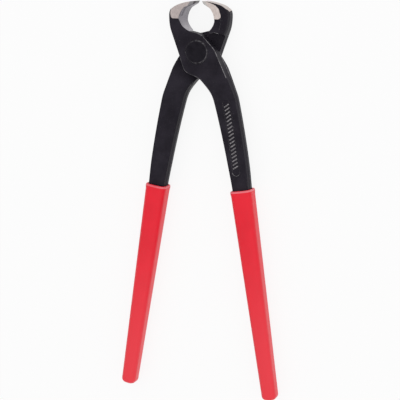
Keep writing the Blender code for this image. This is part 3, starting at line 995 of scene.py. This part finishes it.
# Lighter metal that the mouth blends towards at its foot, and the share of it
BRIGHTER_FOOT_METAL = (0.50, 0.48, 0.51, 1)
BRIGHTER_FOOT_SHARE = 0.6
# Painted shade in the bare steel's corners
PAINTED_CORNER_SHADE_STEEL = (0.12, 0.11, 0.11, 1)

# Vinyl: dark and light colour of the sleeve and of the painted highlight on its lip, its faded
# and worn colours, and the stretch along Y over which it fades towards the handle's end
VINYLS = {
    "red_vinyl": ((0.89, 0.005, 0.024, 1), (0.97, 0.008, 0.030, 1)),
    # Painted highlight along the lip
    "lip_painted_highlight": ((0.93, 0.090, 0.120, 1), (0.97, 0.200, 0.240, 1)),
}
DIMPLE_HEIGHT = 0.25
VINYL_BUMP = (0.12 * MM, 0.4)
VINYL_SPECULAR = 0.35
VINYL_ROUGHNESS = (0.28, 0.36)
VINYL_FADED = (0.97, 0.041, 0.062, 1)
VINYL_FADE = mm(-110, -225)
VINYL_WORN = (0.92, 0.22, 0.26, 1)
VINYL_WEAR = (0.6, 1)

# Studio. A lamp has a place, a width and depth, and a power.
FLOOR_HALF_WIDTH = 2.5
FLOOR_DROP = 0.1 * MM
FLOOR_COLOUR = (0.97, 0.97, 0.97, 1)
FLOOR_ROUGHNESS = 0.9
FLOOR_GLOW = 0.88
TENT_ALL_ROUND = 0.25
TENT_FROM_RIGHT = 0.17
TENT_FROM_ABOVE = 0.75
LAMP_TARGET = (0, -0.1, 0)
LAMPS = {
    "key_softbox": ((-0.3, 2.2, 1.6), (3.0, 2.4), 10),
    "side_softbox": ((2.6, 0.1, 1.6), (1.6, 2.0), 1.5),
}

# Camera, as in the photograph. Its focal length is in pixels of the square picture.
CAMERA_TARGET = (0.0001, -0.10501, 0.0086)
CAMERA_DISTANCE = 1.0
CAMERA_AZIMUTH = math.radians(21.0)
CAMERA_ELEVATION = math.radians(10.3)
CAMERA_ROLL = math.radians(0.33)
CAMERA_FOCAL = 1414
PICTURE_SIDE = 400
SENSOR_WIDTH = 36


# Material nodes


def add(tree, kind, inputs=None, **settings):
    """New node. inputs holds a value, or the socket that feeds it, for each input named."""
    made = tree.nodes.new(kind)
    for name, value in settings.items():
        setattr(made, name, value)
    for name, value in (inputs or {}).items():
        if isinstance(value, bpy.types.NodeSocket):
            tree.links.new(value, made.inputs[name])
        else:
            made.inputs[name].default_value = value
    return made


def link(tree, node, **sockets):
    """Feeds each of the node's inputs named from its socket."""
    for name, socket in sockets.items():
        tree.links.new(socket, node.inputs[name.replace("_", " ")])


def maths(tree, operation, first, second):
    return add(tree, "ShaderNodeMath", {0: first, 1: second}, operation=operation).outputs[0]


def ramp(tree, value, low, high, start=0.0, end=1.0):
    """value's stretch from low to high, spread smoothly from start to end."""
    inputs = {"Value": value, "From Min": low, "From Max": high, "To Min": start, "To Max": end}
    return add(tree, "ShaderNodeMapRange", inputs, interpolation_type="SMOOTHSTEP").outputs[0]


def blend_colours(tree, share, first, second):
    """Colour at this share from first to second. Inputs 6 and 7 are the node's two colours."""
    inputs = {0: share, 6: first, 7: second}
    return add(tree, "ShaderNodeMix", inputs, data_type="RGBA").outputs[2]


def on_piece(tree):
    """Place of a spot on its piece, in the shared frame."""
    return tree.nodes.new("ShaderNodeTexCoord").outputs["Object"]


def distance_along(tree, axis):
    """Distance of a spot along this axis of the shared frame."""
    return add(tree, "ShaderNodeSeparateXYZ", {"Vector": on_piece(tree)}).outputs[axis]


def noise(tree, where, scale, detail, roughness=0.5):
    inputs = {"Vector": where, "Scale": scale, "Detail": detail, "Roughness": roughness}
    return add(tree, "ShaderNodeTexNoise", inputs).outputs[0]


def bump(tree, height, distance, strength, normal=None):
    inputs = {"Height": height, "Distance": distance, "Strength": strength}
    if normal is not None:
        inputs["Normal"] = normal
    return add(tree, "ShaderNodeBump", inputs).outputs[0]


def new_group(name, inputs, outputs, normals=()):
    """Node group with these float inputs and outputs, these normals, and its two end nodes."""
    group = bpy.data.node_groups.new(name, "ShaderNodeTree")
    for socket, value in inputs.items():
        made = group.interface.new_socket(socket, in_out="INPUT", socket_type="NodeSocketFloat")
        made.default_value = value
    for kind, sockets in (("NodeSocketFloat", outputs), ("NodeSocketVector", normals)):
        for socket in sockets:
            group.interface.new_socket(socket, in_out="OUTPUT", socket_type=kind)
    given = group.nodes.new("NodeGroupInput").outputs
    return group, given, group.nodes.new("NodeGroupOutput")


def edge_wear_group():
    """Where edges are rubbed, how far a spot lies in a corner for painted shade, and softly rounded
    normals.
    """
    inputs = {"Width": 0.5 * MM, "Patches": 400, "Amount": 1}
    group, given, result = new_group("edge_wear", inputs, ("Wear", "Corner"), ("Rounded",))
    width = {"Radius": given["Width"]}
    bevel = add(group, "ShaderNodeBevel", width, samples=EDGE_SAMPLES).outputs[0]
    normals = {0: bevel, 1: group.nodes.new("ShaderNodeNewGeometry").outputs["Normal"]}
    facing = add(group, "ShaderNodeVectorMath", normals, operation="DOT_PRODUCT").outputs["Value"]
    reach = {"Distance": maths(group, "MULTIPLY", given["Width"], 2)}
    around = add(group, "ShaderNodeAmbientOcclusion", reach, samples=EDGE_SAMPLES, only_local=True)
    openness = around.outputs["AO"]
    patches = noise(group, on_piece(group), given["Patches"], detail=5, roughness=0.65)
    patchy, outer = ramp(group, patches, *WEAR_SPREAD), ramp(group, openness, *EDGE_OPENNESS)
    wear = ramp(group, facing, *EDGE_TURN)
    for share in (outer, patchy, given["Amount"]):
        wear = maths(group, "MULTIPLY", wear, share)
    # The corner mask drives painted shade, darker deeper in a corner
    link(group, result, Wear=wear, Corner=ramp(group, openness, *CORNER_SHADE_OPENNESS), Rounded=bevel)
    return group


def forged_skin_group():
    """Fine grain, shallow pits and cloudy patches of a forged and blackened surface."""
    inputs = {"Grain": 1500, "Clouds": 70}
    group, given, result = new_group("forged_skin", inputs, ("Height", "Cloud", "Speck"))
    where = on_piece(group)
    grain = noise(group, where, given["Grain"], detail=3, roughness=0.6)
    clouds = noise(group, where, given["Clouds"], detail=4, roughness=0.55)
    speck_grain = maths(group, "MULTIPLY", given["Grain"], SPECKS_TO_GRAIN)
    specks = noise(group, where, speck_grain, detail=2)
    cells = {"Vector": where, "Scale": maths(group, "MULTIPLY", given["Grain"], PITS_TO_GRAIN)}
    pits = ramp(group, add(group, "ShaderNodeTexVoronoi", cells).outputs["Distance"], *PIT_SPREAD)
    height = maths(group, "ADD", grain, maths(group, "MULTIPLY", pits, PIT_HEIGHT))
    cloud, speck = ramp(group, clouds, *NOISE_SPREAD), ramp(group, specks, *SPECK_SPREAD)
    link(group, result, Height=height, Cloud=cloud, Speck=speck)
    return group


def grinding_group():
    """Fine parallel lines of a grinding wheel, along the axis with the lowest density."""
    inputs = {"Along X": 200, "Along Y": 4000, "Along Z": 4000}
    group, given, result = new_group("grinding_lines", inputs, ("Line", "Tone"))
    where = on_piece(group)
    densities = {axis: given[f"Along {axis}"] for axis in "XYZ"}
    factors = {0: where, 1: add(group, "ShaderNodeCombineXYZ", densities).outputs[0]}
    stretched = add(group, "ShaderNodeVectorMath", factors, operation="MULTIPLY").outputs[0]
    tone = noise(group, where, GRINDING_PATCHES, detail=3)
    lines = noise(group, stretched, 1, detail=3, roughness=0.7)
    link(group, result, Line=lines, Tone=ramp(group, tone, *NOISE_SPREAD))
    return group


def vinyl_skin_group():
    """Faint dimples and slow waves of a dipped vinyl coat."""
    inputs = {"Dimples": 900, "Waves": 60}
    group, given, result = new_group("vinyl_skin", inputs, ("Height", "Tone"))
    where = on_piece(group)
    dimples, waves = (noise(group, where, given[kind], detail=2) for kind in ("Dimples", "Waves"))
    height = maths(group, "ADD", maths(group, "MULTIPLY", dimples, DIMPLE_HEIGHT), waves)
    link(group, result, Height=height, Tone=ramp(group, waves, *NOISE_SPREAD))
    return group


def new_material(name, specular=None):
    made = bpy.data.materials.new(name)
    made.use_nodes = True
    shader = made.node_tree.nodes["Principled BSDF"]
    if specular is not None:
        shader.inputs["Specular IOR Level"].default_value = specular
    return made, made.node_tree, shader


def placed(tree, group, **values):
    """Outputs of a group placed in a material, with its own values."""
    made = tree.nodes.new("ShaderNodeGroup")
    made.node_tree = group
    for name, value in values.items():
        made.inputs[name.replace("_", " ")].default_value = value
    return made.outputs


def black_skin(tree, shader, groups, finish, rounded=None):
    """Blackened grain laid on the shader. Gives the skin's outputs and its black."""
    skin = placed(tree, groups["skin"], **finish["pattern"])
    roughness = ramp(tree, skin["Cloud"], 0, 1, *finish["roughness"])
    link(tree, shader, Roughness=roughness, Normal=bump(tree, skin["Height"], *SKIN_BUMP, rounded))
    return skin, blend_colours(tree, skin["Cloud"], *finish["colours"])


def forged_material(name, groups, rubbed):
    """Blackened forging with painted shade in its corners, and bright metal where its edges, or its
    ribs' tops, are rubbed.
    """
    made, tree, shader = new_material(name, BLACK_SPECULAR)
    wear = placed(tree, groups["wear"], Width=0.45 * MM, Patches=420, Amount=0.75)
    skin, black = black_skin(tree, shader, groups, FORGED_FINISH, wear["Rounded"])
    # Painted shade: the black darkens towards its corners
    corner = maths(tree, "MULTIPLY", wear["Corner"], PAINTED_CORNER_SHADE_SHARE)
    black = blend_colours(tree, corner, black, PAINTED_CORNER_SHADE_BLACK)
    if rubbed:
        patch = placed(tree, groups["skin"], Grain=2600, Clouds=900)
        spots = ramp(tree, patch["Cloud"], 0, 1, *RIB_WEAR)
    else:
        spots = maths(tree, "MULTIPLY", skin["Speck"], SPECK_WEAR)
    bare = maths(tree, "MAXIMUM", wear["Wear"], spots)
    metal = maths(tree, "MULTIPLY", bare, BARE_METALLIC)
    link(tree, shader, Base_Color=blend_colours(tree, bare, black, BARE_METAL), Metallic=metal)
    return made


def steel_material(name, groups, dark, light, density, rough, brighter_below=None):
    """Bare steel with fine grinding lines, brighter where y is below the given heights, and painted
    shade in its corners.
    """
    made, tree, shader = new_material(name)
    shader.inputs["Metallic"].default_value = 1
    lines = placed(tree, groups["lines"], **density)
    wear = placed(tree, groups["wear"], Width=0.2 * MM, Patches=900, Amount=0.5)
    colour = blend_colours(tree, ramp(tree, lines["Line"], *NOISE_SPREAD), dark, light)
    # The steel gets lighter below the given heights along Y
    if brighter_below:
        share = ramp(tree, distance_along(tree, "Y"), *brighter_below, 0, BRIGHTER_FOOT_SHARE)
        colour = blend_colours(tree, share, colour, BRIGHTER_FOOT_METAL)
    # Painted shade: the steel darkens towards its corners
    colour = blend_colours(tree, wear["Corner"], colour, PAINTED_CORNER_SHADE_STEEL)
    in_patches = maths(tree, "MULTIPLY", lines["Tone"], PATCH_ROUGHNESS)
    finest, coarsest = rough - LINE_ROUGHNESS, rough + LINE_ROUGHNESS
    in_lines = ramp(tree, lines["Line"], *NOISE_SPREAD, finest, coarsest)
    roughness = maths(tree, "ADD", in_lines, in_patches)
    normal = bump(tree, lines["Line"], *GRINDING_BUMP, wear["Rounded"])
    link(tree, shader, Base_Color=colour, Roughness=roughness, Normal=normal)
    return made


def edge_wear_and_highlight_material(name, groups, lowest, highest, from_left=None):
    """The blackened skin along edges that hands and cloths have rubbed down to bright lines, also
    used for painted highlights.

    from_left is the stretch along X over which the painted highlight grows to its full strength.
    """
    made, tree, shader = new_material(name, BLACK_SPECULAR)
    _, black = black_skin(tree, shader, groups, FORGED_FINISH)
    patches = placed(tree, groups["skin"], Grain=2200, Clouds=520)
    # How bare the edge is, both rubbed metal and painted highlight
    bare = ramp(tree, patches["Cloud"], *EDGE_WEAR_AND_HIGHLIGHT_SPREAD, lowest, highest)
    # The rim's painted highlight grows towards the right along X
    if from_left:
        grown = ramp(tree, distance_along(tree, "X"), *from_left, RIM_HIGHLIGHT_LEFT_SHARE, 1)
        bare = maths(tree, "MULTIPLY", bare, grown)
    metal = maths(tree, "MULTIPLY", bare, RUBBED_AND_HIGHLIGHT_METALLIC)
    link(tree, shader, Base_Color=blend_colours(tree, bare, black, RUBBED_AND_HIGHLIGHT_METAL), Metallic=metal)
    return made


def rivet_material(groups):
    """The rivet's finer and deeper black, rubbed along its edges."""
    made, tree, shader = new_material("rivet_black", BLACK_SPECULAR)
    wear = placed(tree, groups["wear"], Width=0.5 * MM, Patches=600, Amount=0.8)
    _, black = black_skin(tree, shader, groups, RIVET_FINISH, wear["Rounded"])
    link(tree, shader, Base_Color=blend_colours(tree, wear["Wear"], black, RUBBED_AND_HIGHLIGHT_METAL))
    return made


def vinyl_material(name, groups, dark, light):
    """Dipped vinyl coat, paler where its edges are rubbed and towards the handles' ends."""
    made, tree, shader = new_material(name, VINYL_SPECULAR)
    skin = placed(tree, groups["vinyl"], Dimples=1100, Waves=55)
    wear = placed(tree, groups["wear"], Width=0.9 * MM, Patches=260, Amount=0.6)
    faded = ramp(tree, distance_along(tree, "Y"), *VINYL_FADE)
    worn = maths(tree, "MULTIPLY", wear["Wear"], ramp(tree, faded, 0, 1, *VINYL_WEAR))
    colour = blend_colours(tree, skin["Tone"], dark, light)
    colour = blend_colours(tree, faded, colour, VINYL_FADED)
    colour = blend_colours(tree, worn, colour, VINYL_WORN)
    roughness = ramp(tree, skin["Tone"], 0, 1, *VINYL_ROUGHNESS)
    normal = bump(tree, skin["Height"], *VINYL_BUMP)
    link(tree, shader, Base_Color=colour, Roughness=roughness, Normal=normal)
    return made


# The pieces


def place(name, mesh, turned, materials, node, body):
    """Piece in place of its CAD node: as drawn, or turned half a turn about Y."""
    made = in_scene(name, mesh.copy())
    half_turn = Matrix.Rotation(math.pi if turned else 0, 4, "Y")
    made.data.transform(Matrix.Translation((0, 0, PIVOT_HEIGHT)) @ half_turn)
    for i, material in enumerate(materials):
        made.data.materials[i] = material
    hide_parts(node)
    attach(made, body)
    return made


def build_pliers():
    groups = {
        "wear": edge_wear_group(),
        "skin": forged_skin_group(),
        "lines": grinding_group(),
        "vinyl": vinyl_skin_group(),
    }
    forged = forged_material("forged_black", groups, False)
    rubbed = forged_material("rubbed_ribs", groups, True)
    steels = {name: steel_material(name, groups, *own) for name, own in STEELS.items()}
    edges = {name: edge_wear_and_highlight_material(name, groups, *own) for name, own in EDGE_WEAR_AND_HIGHLIGHTS.items()}

    def lever_finishes(side, spine):
        """A lever's finishes, in the order of its slots."""
        # The front lever takes the flank and facet with painted shade, the rear lever those with
        # painted light
        flank, facet = steels[f"ground_flank_{side}"], steels[f"ground_facet_{side}"]
        mouth, land = steels["milled_mouth"], steels["cutting_land"]
        # Rubbed edges that also carry painted highlights
        edge, heel = edges["rubbed_edges_and_highlights"], edges["heel_edge_wear_and_highlight"]
        return forged, flank, mouth, rubbed, facet, land, edge, spine, heel

    cutters = [
        lap_mesh(),
        bore_mesh(),
        band_mesh(),
        *(flank_mesh(side) for side in (1, -1)),
        *(tip_facet_mesh(side) for side in (1, -1)),
        panel_mesh(),
    ]
    steps = [(cutter, "DIFFERENCE") for cutter in cutters] + [(ribs_mesh(), "UNION")]
    lever = cut_lever(lever_mesh(), steps)
    # Only the rear lever's spine gets the painted highlight
    front, rear = lever_finishes("front", forged), lever_finishes("rear", edges["spine_painted_highlight"])
    # The rivet's black, and the painted highlight on its rim
    rivet = (rivet_material(groups), edges["rim_painted_highlight"])
    sleeve = sleeve_mesh()
    # The sleeve's vinyl, and the painted highlight on its lip
    vinyl = [vinyl_material(name, groups, *colours) for name, colours in VINYLS.items()]
    place("front_forging", lever, False, front, "front_lever", "front_side")
    place("rear_forging", lever, True, rear, "rear_lever", "rear_side")
    place("hinge_rivet", rivet_mesh(), True, rivet, "pivot_rivet", "rear_side")
    place("right_sleeve", sleeve, False, vinyl, "right_grip", "front_side")
    place("left_sleeve", sleeve, True, vinyl, "left_grip", "rear_side")


# The studio


def background_rays(tree):
    """1 for rays from the camera, off gloss or through glass, else 0."""
    rays = tree.nodes.new("ShaderNodeLightPath").outputs
    seen = maths(tree, "MAXIMUM", rays["Is Camera Ray"], rays["Is Glossy Ray"])
    return maths(tree, "MAXIMUM", seen, rays["Is Transmission Ray"])


def build_floor():
    """Matt white floor that shines by itself where the camera or a glossy surface sees it."""
    made, tree, shader = new_material("studio_floor", 0)
    shader.inputs["Base Color"].default_value = FLOOR_COLOUR
    shader.inputs["Roughness"].default_value = FLOOR_ROUGHNESS
    glow = add(tree, "ShaderNodeEmission", {"Color": (1, 1, 1, 1), "Strength": 1})
    share = maths(tree, "MULTIPLY", background_rays(tree), FLOOR_GLOW)
    inputs = {0: share, 1: shader.outputs[0], 2: glow.outputs[0]}
    both = add(tree, "ShaderNodeMixShader", inputs)
    link(tree, tree.nodes["Material Output"], Surface=both.outputs[0])
    mesh = bpy.data.meshes.new("studio_floor")
    bm = bmesh.new()
    half = FLOOR_HALF_WIDTH
    corners = ((-half, -half), (half, -half), (half, half), (-half, half))
    bm.faces.new([bm.verts.new((*corner, -FLOOR_DROP)) for corner in corners])
    bm.to_mesh(mesh)
    bm.free()
    mesh.materials.append(made)
    in_scene("studio_floor", mesh)


def build_world():
    """White surroundings, which light the pliers most from above and a little from the right."""
    world = bpy.data.worlds.new("studio")
    bpy.context.scene.world = world
    world.use_nodes = True
    tree = world.node_tree
    sky = tree.nodes["Background"]
    sky.inputs["Color"].default_value = (1, 1, 1, 1)
    towards = tree.nodes.new("ShaderNodeTexCoord").outputs["Generated"]
    part = add(tree, "ShaderNodeSeparateXYZ", {"Vector": towards}).outputs
    from_right = maths(tree, "MULTIPLY", part["X"], TENT_FROM_RIGHT)
    from_above = maths(tree, "MULTIPLY", part["Z"], TENT_FROM_ABOVE)
    tent = maths(tree, "ADD", maths(tree, "ADD", from_right, from_above), TENT_ALL_ROUND)
    seen = background_rays(tree)
    unseen = maths(tree, "SUBTRACT", 1, seen)
    link(tree, sky, Strength=maths(tree, "ADD", seen, maths(tree, "MULTIPLY", unseen, tent)))


def build_lamps():
    for name, (stand, size, power) in LAMPS.items():
        lamp = in_scene(name, bpy.data.lights.new(name, "AREA"))
        lamp.data.shape = "RECTANGLE"
        lamp.data.size, lamp.data.size_y = size
        lamp.data.energy = power
        lamp.location = stand
        towards = Vector(LAMP_TARGET) - Vector(stand)
        lamp.rotation_euler = towards.to_track_quat("-Z", "Y").to_euler()


def build_camera():
    """Camera at the photograph's viewing angle, nearly square to the lying pliers."""
    sideways, forwards = math.sin(CAMERA_AZIMUTH), math.cos(CAMERA_AZIMUTH)
    level = math.cos(CAMERA_ELEVATION)
    towards = Vector((sideways * level, math.sin(CAMERA_ELEVATION), forwards * level))
    right = Vector((forwards, 0, -sideways))
    up = towards.cross(right)
    turned_right = math.cos(CAMERA_ROLL) * right + math.sin(CAMERA_ROLL) * up
    turned_up = towards.cross(turned_right)
    camera = in_scene("camera", bpy.data.cameras.new("camera"))
    camera.data.lens = CAMERA_FOCAL * SENSOR_WIDTH / PICTURE_SIDE
    camera.data.sensor_width = SENSOR_WIDTH
    axes = Matrix((turned_right, turned_up, towards)).transposed().to_4x4()
    stand = Vector(CAMERA_TARGET) + CAMERA_DISTANCE * towards
    camera.matrix_world = Matrix.Translation(stand) @ axes
    bpy.context.scene.camera = camera


build_camera()
build_floor()
build_world()
build_lamps()
build_pliers()
bpy.context.scene.view_settings.view_transform = "Standard"
